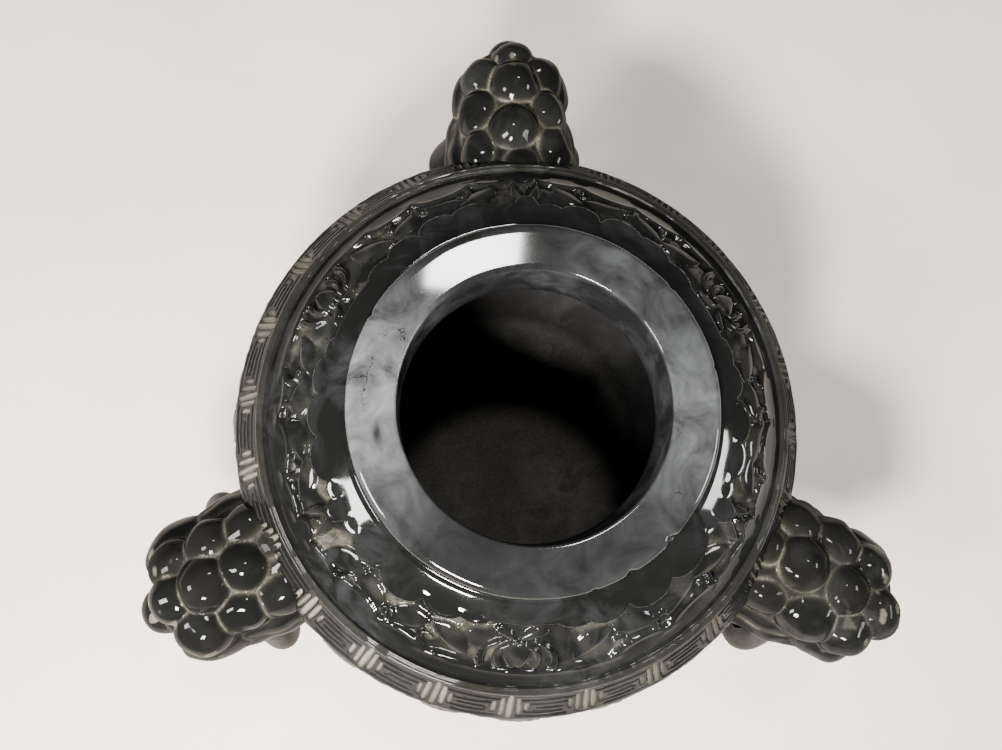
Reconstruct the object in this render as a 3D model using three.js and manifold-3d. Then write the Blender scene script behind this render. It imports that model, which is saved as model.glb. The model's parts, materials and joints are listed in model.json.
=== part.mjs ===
// A carved jade censer without its lid: a round hollow vessel on three short feet, three knobbed mask
// handles, and a loose ring hanging in each handle. Millimetres, +Z up, standing on z = 0. The vessel, its
// feet and its handles are one carved block. Only the rings are pieces of their own.
import * as THREE from 'three';
import { mergeVertices } from 'three/addons/utils/BufferGeometryUtils.js';
import Module from 'manifold-3d';

const wasm = await Module();
wasm.setup();

// Vessel, from the mouth outwards
const MOUTH_RADIUS = 33.6;
const RIM_WIDTH = 12.4;
const RIM_ROUNDING = 2.2;
const ARRIS = 0.6;
const COLLAR_HEIGHT = 4.2;
const COLLAR_STEP = 1.2;
const SHOULDER_WIDTH = 20.6;
const SHOULDER_BULGE = 1.1;
const FILLET_WIDTH = 2.6;
const FILLET_HEIGHT = 0.8;
const FRET_FLARE = 7.6;
const BELLY_SWELL = 2.6;
const BASE_RADIUS = 38;
const FILLET_CREST = 0.3;
const FILLET_FOOT = 0.75;
const SWELL_SHARE = 0.7;
const SWELL_DROP_SHARE = 0.4;

// Vessel, from the rim downwards
const SHOULDER_DROP = 14;
const FRET_DROP = 12;
const BELLY_DROP = 12;
const LOWER_DROP = 39.8;
const FOOT_HEIGHT = 24;

// Hollow
const WALL = 12;
const FLOOR = 9;
const NECK_DEPTH = 17.5;
const OVERCUT = 1;

// Ornament
const FRET_COUNT = 24;
const FRET_MARGIN = 1.3;
const FRET_LINE = 1.1;
const FRET_SPACING = 2.3;
const FRET_DEPTH = 0.8;
const FRET_STROKES = 4;
const PANEL_DEPTH = 0.9;
const PANEL_TOP = 0.17;
const PANEL_BOTTOM = 0.78;
const PANEL_DRAFT = 0.02;
const PANEL_WAVE = 1;
const PETAL_COUNT = 3;
const PETAL_LENGTH = 3.4;
const PETAL_WIDTH = 1.7;
const PETAL_REACH = 1.2;
const PETAL_RISE = 0.7;
const RELIEF_HEIGHT = 1.5;
const SCROLL_LENGTH = 30;
const SCROLL_SWING = 2.4;
const SCROLL_WAVES = 1;
const SCROLL_START = 8;
const SCROLL_TUBE = 1.6;
const CLOUD_RISE = 1.3;

// Handles, each with its own turn and reach because they were cut by eye
const BACK_REACH = 123;
const LEFT_REACH = 115;
const RIGHT_REACH = 123;
const HANDLES = [
  { name: 'back', angle: 91.5, reach: BACK_REACH },
  { name: 'left', angle: 208, reach: LEFT_REACH },
  { name: 'right', angle: 332, reach: RIGHT_REACH },
];
const HEAD_RADIUS = 14;
const HEAD_SINK = 9;
const HEAD_DROP = 42;
const CHEEK_PLACE = 0.3;
const TAPER = 0.86;
const KNOB_RADIUS = 6.2;
const CAP_WIDTH = 1.15;

// Rings
const RING_RADIUS = 22.5;
const RING_TUBE = 3.5;
const RING_PLACE = 0.45;
const RING_DROP = 66;
const RING_SLACK = 1.5;
const TOUCH_GAP = 0.3;

// Feet
const FOOT_CIRCLE = 50;
const FOOT_PAD = 8.5;
const FOOT_LIP = 1;
const FOOT_WAIST = 7.2;
const FOOT_TOP = 13;
const FOOT_LIP_SHARE = 0.1;
const FOOT_WAIST_SHARE = 0.4;
const FOOT_FLARE_SHARE = 0.8;

// Facets
const ROUND = 40;
const HOLLOW_ROUND = 24;
const FOOT_ROUND = 10;
const CORE_ROUND = 8;
const KNOB_ROUND = 6;
const KNOB_BANDS = 4;
const PETAL_ROUND = 5;
const RING_ROUND = 18;
const TUBE_ROUND = 6;
const SCROLL_SIDES = 3;
const SCROLL_STEPS = 7;
const LINE_SLACK = 1;
const WELD = 1e-4;

// Places worked out from the sizes above
const RIM_RADIUS = MOUTH_RADIUS + RIM_WIDTH;
const SHOULDER_START = RIM_RADIUS + COLLAR_STEP;
const SHOULDER_END = SHOULDER_START + SHOULDER_WIDTH;
const FRET_START = SHOULDER_END + FILLET_WIDTH;
const FRET_END = FRET_START + FRET_FLARE;
const BELLY_RADIUS = FRET_END + BELLY_SWELL;
const UNDERSIDE_Z = FOOT_HEIGHT;
const BELLY_Z = UNDERSIDE_Z + LOWER_DROP;
const FRET_LOW_Z = BELLY_Z + BELLY_DROP;
const FRET_TOP_Z = FRET_LOW_Z + FRET_DROP;
const SHOULDER_TOP_Z = FRET_TOP_Z + SHOULDER_DROP;
const RIM_Z = SHOULDER_TOP_Z + COLLAR_HEIGHT;
const HEAD_START = FRET_END - HEAD_SINK;
const HEAD_Z = RIM_Z - HEAD_DROP;
const RING_Z = RIM_Z - RING_DROP;
const CHANNEL_TUBE = RING_TUBE + RING_SLACK;

const jade = new THREE.MeshStandardMaterial({ color: 0x3b3d3a, roughness: 0.25, metalness: 0 });
const ringJade = new THREE.MeshStandardMaterial({ color: 0x5c5d58, roughness: 0.35, metalness: 0 });

// Turns a closed three.js geometry into a solid that can be joined and cut.
function solid(geometry) {
  const bare = geometry.index ? geometry.toNonIndexed() : geometry.clone();
  bare.deleteAttribute('normal');
  bare.deleteAttribute('uv');
  const merged = mergeVertices(bare, WELD);
  const vertProperties = new Float32Array(merged.attributes.position.array);
  const corners = merged.index.array;
  const triVerts = [];
  for (let i = 0; i < corners.length; i += 3) {
    const [a, b, c] = [corners[i], corners[i + 1], corners[i + 2]];
    if (a !== b && b !== c && c !== a) triVerts.push(a, b, c);
  }
  const mesh = new wasm.Mesh({ numProp: 3, vertProperties, triVerts: new Uint32Array(triVerts) });
  return new wasm.Manifold(mesh);
}

// Turns a solid back into a mesh of the model.
function namedMesh(name, shape, material) {
  const { vertProperties, triVerts } = shape.getMesh();
  const geometry = new THREE.BufferGeometry();
  geometry.setAttribute('position', new THREE.BufferAttribute(vertProperties, 3));
  geometry.setIndex(new THREE.BufferAttribute(triVerts, 1));
  geometry.computeVertexNormals();
  const mesh = new THREE.Mesh(geometry, material);
  mesh.name = name;
  return mesh;
}

// A solid turned about the vessel's axis from [radius, height] points that start and end on the axis.
function turned(points, segments) {
  return solid(latheOf(points, segments));
}

function latheOf(points, segments) {
  const profile = points.map(([radius, height]) => new THREE.Vector2(radius, height));
  return new THREE.LatheGeometry(profile, segments).rotateX(Math.PI / 2);
}

// The shoulder from the collar to the fillet, with its sunk panel, as [radius, height] points.
function shoulderProfile() {
  const middle = (PANEL_TOP + PANEL_BOTTOM) / 2;
  const stops = [
    [0, 0],
    [PANEL_TOP, 0],
    [PANEL_TOP, -PANEL_DEPTH],
    [middle, -PANEL_DEPTH],
    [PANEL_BOTTOM, -PANEL_DEPTH],
    [PANEL_BOTTOM, 0],
    [1, 0],
  ];
  return stops.map(([share, lift]) => {
    const point = onBand(shoulderLine, share + (lift ? PANEL_DRAFT * Math.sign(middle - share) : 0), 0, lift);
    return [point.x, point.z];
  });
}

// Scallops the margins of the sunk panel by moving every other facet line.
function scallopPanel(lathe) {
  const corners = lathe.attributes.position;
  const middle = shoulderLine.getPoint((PANEL_TOP + PANEL_BOTTOM) / 2).x;
  for (let k = 0; k < corners.count; k += 1) {
    const point = new THREE.Vector3().fromBufferAttribute(corners, k);
    const radius = Math.hypot(point.x, point.y);
    const onShoulder = radius > SHOULDER_START + LINE_SLACK && radius < SHOULDER_END - LINE_SLACK;
    const onMargin = onShoulder && point.z > FRET_TOP_Z + LINE_SLACK;
    const line = Math.round((Math.atan2(point.y, point.x) / (2 * Math.PI)) * ROUND);
    if (!onMargin || line % 2 || Math.abs(radius - middle) < LINE_SLACK) continue;
    const along = shoulderLine.getTangent(0.5);
    const shift = (PANEL_WAVE * Math.sign(middle - radius)) / along.x;
    const scale = 1 + (shift * along.x) / radius;
    corners.setXYZ(k, point.x * scale, point.y * scale, point.z + shift * along.y);
  }
  return lathe;
}

// Raises low cloud bosses round the belly, between the fret and the feet, by moving every other facet line.
function raiseClouds(lathe) {
  const corners = lathe.attributes.position;
  for (let k = 0; k < corners.count; k += 1) {
    const point = new THREE.Vector3().fromBufferAttribute(corners, k);
    const onBelly = point.z < FRET_LOW_Z - LINE_SLACK && point.z > BELLY_Z - LOWER_DROP / 2;
    const line = Math.round((Math.atan2(point.y, point.x) / (2 * Math.PI)) * ROUND);
    const row = point.z > BELLY_Z + LINE_SLACK ? 1 : 0;
    if (!onBelly || (line + row) % 2) continue;
    const scale = 1 - CLOUD_RISE / Math.hypot(point.x, point.y);
    corners.setXYZ(k, point.x * scale, point.y * scale, point.z);
  }
  return lathe;
}

// Points of a quarter of an ellipse from its side point, at radius and height, to its end point.
function quarter(sideRadius, sideZ, endRadius, endZ, steps) {
  const points = [];
  for (let i = 1; i <= steps; i += 1) {
    const turn = (i / steps) * (Math.PI / 2);
    const radius = endRadius + (sideRadius - endRadius) * Math.cos(turn);
    points.push([radius, sideZ + (endZ - sideZ) * Math.sin(turn)]);
  }
  return points;
}

// The shoulder's line from the collar down to the raised fillet, as radius and height.
const shoulderLine = new THREE.QuadraticBezierCurve(
  new THREE.Vector2(SHOULDER_START, SHOULDER_TOP_Z),
  new THREE.Vector2(
    (SHOULDER_START + SHOULDER_END) / 2 + SHOULDER_BULGE,
    (SHOULDER_TOP_Z + FRET_TOP_Z) / 2 + 2 * SHOULDER_BULGE,
  ),
  new THREE.Vector2(SHOULDER_END, FRET_TOP_Z),
);

const fretLine = new THREE.LineCurve(
  new THREE.Vector2(FRET_START, FRET_TOP_Z - FILLET_HEIGHT),
  new THREE.Vector2(FRET_END, FRET_LOW_Z),
);

// A point on a band of the vessel: share along its line, angle in radians, and height above its surface.
function onBand(line, share, angle, lift) {
  const at = line.getPoint(share);
  const along = line.getTangent(share);
  const radius = at.x - along.y * lift;
  return new THREE.Vector3(
    radius * Math.cos(angle),
    radius * Math.sin(angle),
    at.y + along.x * lift,
  );
}

// The frame of a band at a point: x around the vessel, y up the slope, z out of the surface.
function bandFrame(line, share, angle) {
  const along = line.getTangent(share);
  const around = new THREE.Vector3(-Math.sin(angle), Math.cos(angle), 0);
  const upSlope = new THREE.Vector3(-along.x * Math.cos(angle), -along.x * Math.sin(angle), -along.y);
  const outward = new THREE.Vector3().crossVectors(around, upSlope);
  const frame = new THREE.Matrix4().makeBasis(around, upSlope, outward);
  return frame.setPosition(onBand(line, share, angle, 0));
}

// A low-facet ellipsoid with its half lengths, turned in its own plane and put in a frame.
function boss(halfLengths, turn, frame, segments = KNOB_ROUND) {
  const sphere = new THREE.SphereGeometry(1, segments, KNOB_BANDS);
  sphere.rotateX(Math.PI / 2);
  sphere.scale(...halfLengths);
  sphere.rotateZ(turn);
  return solid(sphere.applyMatrix4(frame));
}

function vesselOutside() {
  const rimTurn = quarter(RIM_RADIUS, RIM_Z - RIM_ROUNDING, RIM_RADIUS - RIM_ROUNDING, RIM_Z, 2);
  const shoulder = shoulderProfile().reverse();
  const belly = quarter(BELLY_RADIUS, BELLY_Z, BASE_RADIUS, UNDERSIDE_Z, 5).reverse();
  return solid(scallopPanel(raiseClouds(latheOf([
    [0, UNDERSIDE_Z],
    ...belly,
    [BELLY_RADIUS, BELLY_Z],
    [FRET_END + BELLY_SWELL * SWELL_SHARE, FRET_LOW_Z - BELLY_DROP * SWELL_DROP_SHARE],
    [FRET_END, FRET_LOW_Z],
    [FRET_START, FRET_TOP_Z - FILLET_HEIGHT],
    [SHOULDER_END + FILLET_WIDTH * FILLET_FOOT, FRET_TOP_Z],
    [SHOULDER_END + FILLET_WIDTH * FILLET_CREST, FRET_TOP_Z + FILLET_HEIGHT],
    ...shoulder,
    [RIM_RADIUS, SHOULDER_TOP_Z + COLLAR_STEP / 2],
    [RIM_RADIUS, RIM_Z - RIM_ROUNDING],
    ...rimTurn,
    [0, RIM_Z],
  ], ROUND))));
}

// The hollow: a straight neck under the mouth, then an undercut bowl that follows the outside.
function vesselInside() {
  const floorZ = UNDERSIDE_Z + FLOOR;
  const neckZ = RIM_Z - NECK_DEPTH;
  const bowlRadius = BELLY_RADIUS - WALL;
  const wideZ = BELLY_Z + WALL / 3;
  const above = RIM_Z + OVERCUT;
  const top = quarter(bowlRadius, wideZ, MOUTH_RADIUS + ARRIS, neckZ - ARRIS, 4);
  const bottom = quarter(bowlRadius, wideZ, BASE_RADIUS - FLOOR / 2, floorZ, 4).reverse();
  return turned([
    [0, floorZ],
    ...bottom,
    [bowlRadius, wideZ],
    ...top,
    [MOUTH_RADIUS, neckZ],
    [MOUTH_RADIUS, RIM_Z - ARRIS],
    [MOUTH_RADIUS + ARRIS + OVERCUT, above],
    [0, above],
  ], HOLLOW_ROUND);
}

// The middle line of one rectangular spiral, winding inwards, in millimetres around and up the band.
function spiralPath(width, height) {
  const path = [[-width / 2, -height / 2]];
  for (let i = 0; i < FRET_STROKES; i += 1) {
    const sunk = FRET_SPACING * Math.floor(i / 4);
    const sunkAfter = FRET_SPACING * Math.floor((i + 1) / 4);
    const corners = [
      [-width / 2 + sunk, height / 2 - sunk],
      [width / 2 - sunk, height / 2 - sunk],
      [width / 2 - sunk, -height / 2 + sunk],
      [-width / 2 + sunkAfter, -height / 2 + sunk],
    ];
    path.push(corners[i % 4]);
  }
  return path;
}

// The outline of a line of one width along a path that only turns by right angles.
function outlineOf(path, width) {
  const half = width / 2;
  const sides = [[], []];
  path.forEach(([x, y], i) => {
    const before = path[Math.max(i - 1, 0)];
    const after = path[Math.min(i + 1, path.length - 1)];
    const into = [Math.sign(x - before[0]), Math.sign(y - before[1])];
    const outOf = [Math.sign(after[0] - x), Math.sign(after[1] - y)];
    const normal = [-(into[1] || outOf[1]), into[0] || outOf[0]];
    const end = (i === 0 ? -1 : 0) + (i === path.length - 1 ? 1 : 0);
    const ahead = i === 0 ? outOf : into;
    sides.forEach((side, k) => {
      const sign = k === 0 ? 1 : -1;
      side.push(new THREE.Vector2(
        x + half * (sign * normal[0] + end * ahead[0]),
        y + half * (sign * normal[1] + end * ahead[1]),
      ));
    });
  });
  return [...sides[0], ...sides[1].reverse()];
}

// One cutter for each spiral of the key fret, bent round the band.
function fretCutters() {
  const slope = fretLine.getLength();
  const middleRadius = (FRET_START + FRET_END) / 2;
  const unit = (2 * Math.PI) / FRET_COUNT;
  const path = spiralPath(unit * middleRadius - FRET_SPACING, slope - 2 * FRET_MARGIN - FRET_LINE);
  const groove = new THREE.Shape(outlineOf(path, FRET_LINE));
  const cutters = [];
  for (let i = 0; i < FRET_COUNT; i += 1) {
    const cutter = new THREE.ExtrudeGeometry(groove, { depth: 2 * FRET_DEPTH, bevelEnabled: false });
    const corners = cutter.attributes.position;
    for (let k = 0; k < corners.count; k += 1) {
      const angle = (i + 0.5) * unit + corners.getX(k) / middleRadius;
      const share = 0.5 - corners.getY(k) / slope;
      const bent = onBand(fretLine, share, angle, corners.getZ(k) - FRET_DEPTH);
      corners.setXYZ(k, bent.x, bent.y, bent.z);
    }
    cutters.push(solid(cutter));
  }
  return cutters;
}

// One lotus blossom on the shoulder: petals fanned about a middle boss.
function blossom(angle) {
  const middle = (PANEL_TOP + PANEL_BOTTOM) / 2;
  const frame = bandFrame(shoulderLine, middle, angle);
  const bosses = [boss([PETAL_WIDTH, PETAL_WIDTH, RELIEF_HEIGHT], 0, frame, PETAL_ROUND)];
  for (let i = 0; i < PETAL_COUNT; i += 1) {
    const turn = Math.PI * (i / (PETAL_COUNT - 1));
    const away = new THREE.Matrix4().makeTranslation(
      PETAL_LENGTH * PETAL_REACH * Math.cos(turn),
      PETAL_LENGTH * PETAL_RISE * Math.sin(turn),
      -PANEL_DEPTH / 2,
    );
    const petal = [PETAL_LENGTH, PETAL_WIDTH, RELIEF_HEIGHT];
    bosses.push(boss(petal, turn, frame.clone().multiply(away), PETAL_ROUND));
  }
  return bosses;
}

// The corners of a regular polygon of a given size.
function polygon(sides, size) {
  const corners = [];
  for (let i = 0; i < sides; i += 1) {
    const turn = (i / sides) * 2 * Math.PI;
    corners.push(new THREE.Vector2(size * Math.cos(turn), size * Math.sin(turn)));
  }
  return corners;
}

// One leaf scroll on the shoulder's sunk panel, waving away from the blossom at an angle.
function scroll(angle, side) {
  const middle = (PANEL_TOP + PANEL_BOTTOM) / 2;
  const slope = shoulderLine.getLength();
  const radius = shoulderLine.getPoint(middle).x;
  const points = [];
  for (let i = 0; i <= SCROLL_STEPS; i += 1) {
    const share = i / SCROLL_STEPS;
    const around = (side * (SCROLL_START + SCROLL_LENGTH * share)) / radius;
    const swing = SCROLL_SWING * Math.sin(2 * Math.PI * SCROLL_WAVES * share);
    points.push(onBand(shoulderLine, middle + swing / slope, angle + around, -PANEL_DEPTH));
  }
  const section = new THREE.Shape(polygon(SCROLL_SIDES, SCROLL_TUBE));
  const extrudePath = new THREE.CatmullRomCurve3(points);
  return solid(new THREE.ExtrudeGeometry(section, { steps: SCROLL_STEPS, extrudePath }));
}

// The middles of the shoulder's three panels lie half way between the handles.
function panelAngles() {
  return HANDLES.map((handle, i) => {
    const next = HANDLES[(i + 1) % HANDLES.length];
    const gap = (next.angle - handle.angle + 360) % 360;
    return THREE.MathUtils.degToRad(handle.angle + gap / 2);
  });
}

function shoulderRelief() {
  const pieces = [];
  for (const angle of panelAngles()) {
    pieces.push(...blossom(angle));
    pieces.push(scroll(angle, 1), scroll(angle, -1));
  }
  return pieces;
}

// The head's core radius at a share of its length, from the vessel to the tip.
function coreRadius(share) {
  const past = Math.max(share - CHEEK_PLACE, 0) / (1 - CHEEK_PLACE);
  return HEAD_RADIUS * Math.sqrt(1 - (TAPER * past) ** 2);
}

// The round curls of one head, in columns that run out along it: the roll of a column about the head,
// then the share of the length, the half length and the radius of each of its curls.
const CURL_COLUMNS = [
  { roll: 0, curls: [[0.16, 1, 0.65], [0.36, 1, 0.9], [0.6, 1, 1.05], [0.83, 1, 0.85]] },
  { roll: 45, curls: [[0.25, 1.1, 0.95], [0.49, 1, 0.95], [0.73, 1, 0.9]] },
  { roll: 92, curls: [[0.34, 2, 0.9], [0.68, 1.2, 0.9]] },
];

// One mask handle along +X: a head covered in round curls, with the ring's channel cut through it.
function handle({ angle, reach }) {
  const length = reach - HEAD_START;
  const tip = length - KNOB_RADIUS;
  const profile = [new THREE.Vector2(0, 0)];
  for (const share of [0, CHEEK_PLACE, (1 + CHEEK_PLACE) / 2, 1]) {
    profile.push(new THREE.Vector2(coreRadius(share), share * tip));
  }
  profile.push(new THREE.Vector2(0, tip));
  const core = new THREE.LatheGeometry(profile, CORE_ROUND).rotateZ(-Math.PI / 2);
  let head = solid(core.translate(HEAD_START, 0, HEAD_Z));
  const cap = new THREE.Matrix4().makeTranslation(reach - KNOB_RADIUS, 0, HEAD_Z);
  head = head.add(boss([KNOB_RADIUS, KNOB_RADIUS * CAP_WIDTH, KNOB_RADIUS], 0, cap));
  for (const { roll, curls } of CURL_COLUMNS) {
    for (const side of roll === 0 ? [1] : [1, -1]) {
      for (const [share, stretch, size] of curls) {
        const turn = side * THREE.MathUtils.degToRad(roll);
        const out = coreRadius(share);
        const place = new THREE.Matrix4().makeTranslation(
          HEAD_START + share * tip,
          out * Math.sin(turn),
          HEAD_Z + out * Math.cos(turn),
        );
        const radius = size * KNOB_RADIUS;
        head = head.add(boss([radius * stretch, radius, radius], 0, place));
      }
    }
  }
  const channel = ringAt(reach, CHANNEL_TUBE, RING_Z);
  return turnTo(head.subtract(channel), angle);
}

// A ring's solid in a handle that points along +X, hanging across it.
function ringAt(reach, tube, centreZ) {
  const place = HEAD_START + RING_PLACE * (reach - HEAD_START);
  const torus = new THREE.TorusGeometry(RING_RADIUS, tube, TUBE_ROUND, RING_ROUND);
  return solid(torus.rotateY(Math.PI / 2).translate(place, 0, centreZ));
}

function turnTo(shape, degrees) {
  return shape.rotate([0, 0, degrees]);
}

// One short waisted foot that flares into the belly.
function foot(angle) {
  const shaft = turned([
    [0, 0],
    [FOOT_PAD, 0],
    [FOOT_PAD + FOOT_LIP, FOOT_HEIGHT * FOOT_LIP_SHARE],
    [FOOT_WAIST, FOOT_HEIGHT * FOOT_WAIST_SHARE],
    [(FOOT_WAIST + FOOT_TOP) / 2, FOOT_HEIGHT * FOOT_FLARE_SHARE],
    [FOOT_TOP, FOOT_HEIGHT + FLOOR / 2],
    [0, FOOT_HEIGHT + FLOOR / 2],
  ], FOOT_ROUND);
  return turnTo(shaft.translate([FOOT_CIRCLE, 0, 0]), THREE.MathUtils.radToDeg(angle));
}

function censerBody() {
  let shape = vesselOutside();
  for (const piece of shoulderRelief()) shape = shape.add(piece);
  for (const cutter of fretCutters()) shape = shape.subtract(cutter);
  for (const angle of panelAngles()) shape = shape.add(foot(angle));
  for (const each of HANDLES) shape = shape.add(handle(each));
  return shape.subtract(vesselInside());
}

const censer = new THREE.Group();
censer.add(namedMesh('censer_body', censerBody(), jade));
for (const each of HANDLES) {
  const hanging = ringAt(each.reach, RING_TUBE, RING_Z - RING_SLACK + TOUCH_GAP);
  censer.add(namedMesh(`ring_${each.name}`, turnTo(hanging, each.angle), ringJade));
}

// The origin is the middle of the part's footprint, on the ground.
const middle = new THREE.Box3().setFromObject(censer).getCenter(new THREE.Vector3());
censer.position.set(-middle.x, -middle.y, 0);

export default censer;
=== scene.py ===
import json
import math

import bpy
import numpy as np
from mathutils import Matrix, Vector


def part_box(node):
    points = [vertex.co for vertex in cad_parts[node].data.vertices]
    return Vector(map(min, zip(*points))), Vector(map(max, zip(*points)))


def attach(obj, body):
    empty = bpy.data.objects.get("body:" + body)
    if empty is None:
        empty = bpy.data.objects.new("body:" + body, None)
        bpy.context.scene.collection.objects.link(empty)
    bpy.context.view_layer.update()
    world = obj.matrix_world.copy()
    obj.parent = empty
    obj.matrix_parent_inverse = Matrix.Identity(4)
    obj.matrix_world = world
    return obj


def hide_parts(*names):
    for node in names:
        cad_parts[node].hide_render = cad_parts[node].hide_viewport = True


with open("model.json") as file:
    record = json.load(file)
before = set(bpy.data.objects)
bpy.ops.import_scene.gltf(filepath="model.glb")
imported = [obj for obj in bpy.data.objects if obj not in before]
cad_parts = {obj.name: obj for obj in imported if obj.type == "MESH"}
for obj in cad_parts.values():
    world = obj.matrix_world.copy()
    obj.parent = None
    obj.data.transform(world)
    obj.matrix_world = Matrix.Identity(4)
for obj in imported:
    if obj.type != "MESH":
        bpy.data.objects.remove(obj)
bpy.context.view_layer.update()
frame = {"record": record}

# The photograph's view: a phone held about a hand's length above the open mouth, leaning a little to the
# front left. Its place is in rim radii from the middle of the rim. All lengths are metres.
MM = 0.001
mounts = {mount["name"]: mount["pos_m"] for mount in frame["record"]["mounts"]}
AXIS = np.array([mounts["foot"][0], mounts["rim"][1]])
RIM_Z = mounts["rim"][2]
RIM_RADIUS = 46 * MM
CAMERA_PLACE = (-0.495, -0.628, 3.987)
CAMERA_TURN = math.radians(4.4)
CAMERA_TILT = math.radians(-10.9)
LENS = 28
SENSOR = 36
NEAREST_SEEN = 10 * MM

turn_cos, turn_sin = math.cos(CAMERA_TURN), math.sin(CAMERA_TURN)
tilt_cos, tilt_sin = math.cos(CAMERA_TILT), math.sin(CAMERA_TILT)
camera_right = Vector((turn_cos, 0, turn_sin))
camera_up = Vector((tilt_sin * turn_sin, tilt_cos, -tilt_sin * turn_cos))
camera_back = camera_right.cross(camera_up)
camera_data = bpy.data.cameras.new("photo_camera")
camera_data.lens = LENS
camera_data.sensor_width = SENSOR
camera_data.clip_start = NEAREST_SEEN
camera = bpy.data.objects.new("photo_camera", camera_data)
bpy.context.scene.collection.objects.link(camera)
camera_frame = Matrix((camera_right, camera_up, camera_back)).transposed().to_4x4()
rim_middle = Vector((AXIS[0], AXIS[1], RIM_Z))
camera_frame.translation = rim_middle + RIM_RADIUS * Vector(CAMERA_PLACE)
camera.matrix_world = camera_frame
bpy.context.scene.camera = camera


# The table and the light: a pale, faintly uneven table top in a grey room that is dimmer in front and
# overhead. A ceiling lamp shines on the back of the rim, and windows at the left, at the right and close at
# the front left brighten the table and put small highlights on the stone.
def link(name, data):
    made = bpy.data.objects.new(name, data)
    bpy.context.scene.collection.objects.link(made)
    return made


def add_node(tree, kind, inputs=None, **settings):
    made = tree.nodes.new("ShaderNode" + kind)
    for name, value in settings.items():
        setattr(made, name, value)
    for socket, value in (inputs or {}).items():
        if isinstance(value, bpy.types.NodeSocket):
            tree.links.new(value, made.inputs[socket])
        else:
            made.inputs[socket].default_value = value
    return made


def remap(tree, value, low, high, to_low=0.0, to_high=1.0):
    """Carries the range from low to high over to another one, and stops at its ends."""
    made = add_node(tree, "MapRange", {
        "Value": value, "From Min": low, "From Max": high, "To Min": to_low, "To Max": to_high,
    })
    return made.outputs["Result"]


def combine(tree, operation, first, second, clamp=False):
    return add_node(tree, "Math", {0: first, 1: second}, operation=operation, use_clamp=clamp).outputs[0]


def new_material(name):
    material = bpy.data.materials.new(name)
    material.use_nodes = True
    tree = material.node_tree
    tree.nodes.clear()
    surface = tree.nodes.new("ShaderNodeBsdfPrincipled")
    output = tree.nodes.new("ShaderNodeOutputMaterial")
    tree.links.new(surface.outputs["BSDF"], output.inputs["Surface"])
    return material, tree, surface


def area_light(name, azimuth, elevation, distance, size, power, colour):
    """A lamp that faces the middle of the rim from a compass angle and a height above the horizon."""
    data = bpy.data.lights.new(name, "AREA")
    data.shape = "RECTANGLE"
    data.size, data.size_y = size
    data.energy = power
    data.color = colour
    lamp = link(name, data)
    flat = math.cos(math.radians(elevation))
    towards = Vector((
        flat * math.cos(math.radians(azimuth)),
        flat * math.sin(math.radians(azimuth)),
        math.sin(math.radians(elevation)),
    ))
    lamp.location = rim_middle + distance * towards
    lamp.rotation_mode = "QUATERNION"
    lamp.rotation_quaternion = towards.to_track_quat("Z", "Y")


TABLE_REACH = 3.0
TABLE_SHADES = ((0.3, (0.80, 0.732, 0.652, 1)), (0.7, (0.87, 0.797, 0.712, 1)))
TABLE_ROUGHNESS = 0.75
ROOM_COLOUR = (0.97, 0.985, 1.0, 1)
GLOW_AT_HORIZON = 0.20
GLOW_OVERHEAD = 0.12
FRONT_SHARE = 0.35
# Name, azimuth and elevation in degrees, distance, width and height, power and colour.
LAMPS = (
    ("ceiling_lamp", 86, 69, 1.3, (0.17, 0.12), 8.5, (1.0, 0.985, 0.955)),
    ("left_window", 204, 38, 0.60, (0.14, 0.17), 6.0, (1.0, 0.975, 0.94)),
    ("right_window", 351, 25, 0.95, (0.34, 0.17), 6.5, (1.0, 0.98, 0.95)),
    ("front_window", 248, 41, 0.36, (0.085, 0.065), 6.2, (1.0, 0.96, 0.92)),
)

table_mesh = bpy.data.meshes.new("table_top")
corners = [(x * TABLE_REACH, y * TABLE_REACH, 0) for x, y in ((-1, -1), (1, -1), (1, 1), (-1, 1))]
table_mesh.from_pydata(corners, [], [(0, 1, 2, 3)])
table_top = link("table_top", table_mesh)
table_material, tree, surface = new_material("pale_table")
place = add_node(tree, "NewGeometry").outputs["Position"]
mottle = add_node(tree, "TexNoise", {"Vector": place, "Scale": 14, "Detail": 5, "Roughness": 0.6})
tone = add_node(tree, "ValToRGB", {"Fac": mottle.outputs["Fac"]})
for element, (position, shade) in zip(tone.color_ramp.elements, TABLE_SHADES):
    element.position = position
    element.color = shade
tree.links.new(tone.outputs["Color"], surface.inputs["Base Color"])
surface.inputs["Roughness"].default_value = TABLE_ROUGHNESS
table_mesh.materials.append(table_material)

world = bpy.data.worlds.new("grey_room")
world.use_nodes = True
room = world.node_tree
towards = add_node(room, "SeparateXYZ", {"Vector": add_node(room, "TexCoord").outputs["Generated"]})
overhead = remap(room, towards.outputs["Z"], 0.05, 0.75, GLOW_AT_HORIZON, GLOW_OVERHEAD)
front = remap(room, towards.outputs["Y"], -0.75, 0.35, FRONT_SHARE, 1.0)
background = room.nodes["Background"]
background.inputs["Color"].default_value = ROOM_COLOUR
room.links.new(combine(room, "MULTIPLY", overhead, front), background.inputs["Strength"])
bpy.context.scene.world = world
for lamp in LAMPS:
    area_light(*lamp)


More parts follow.
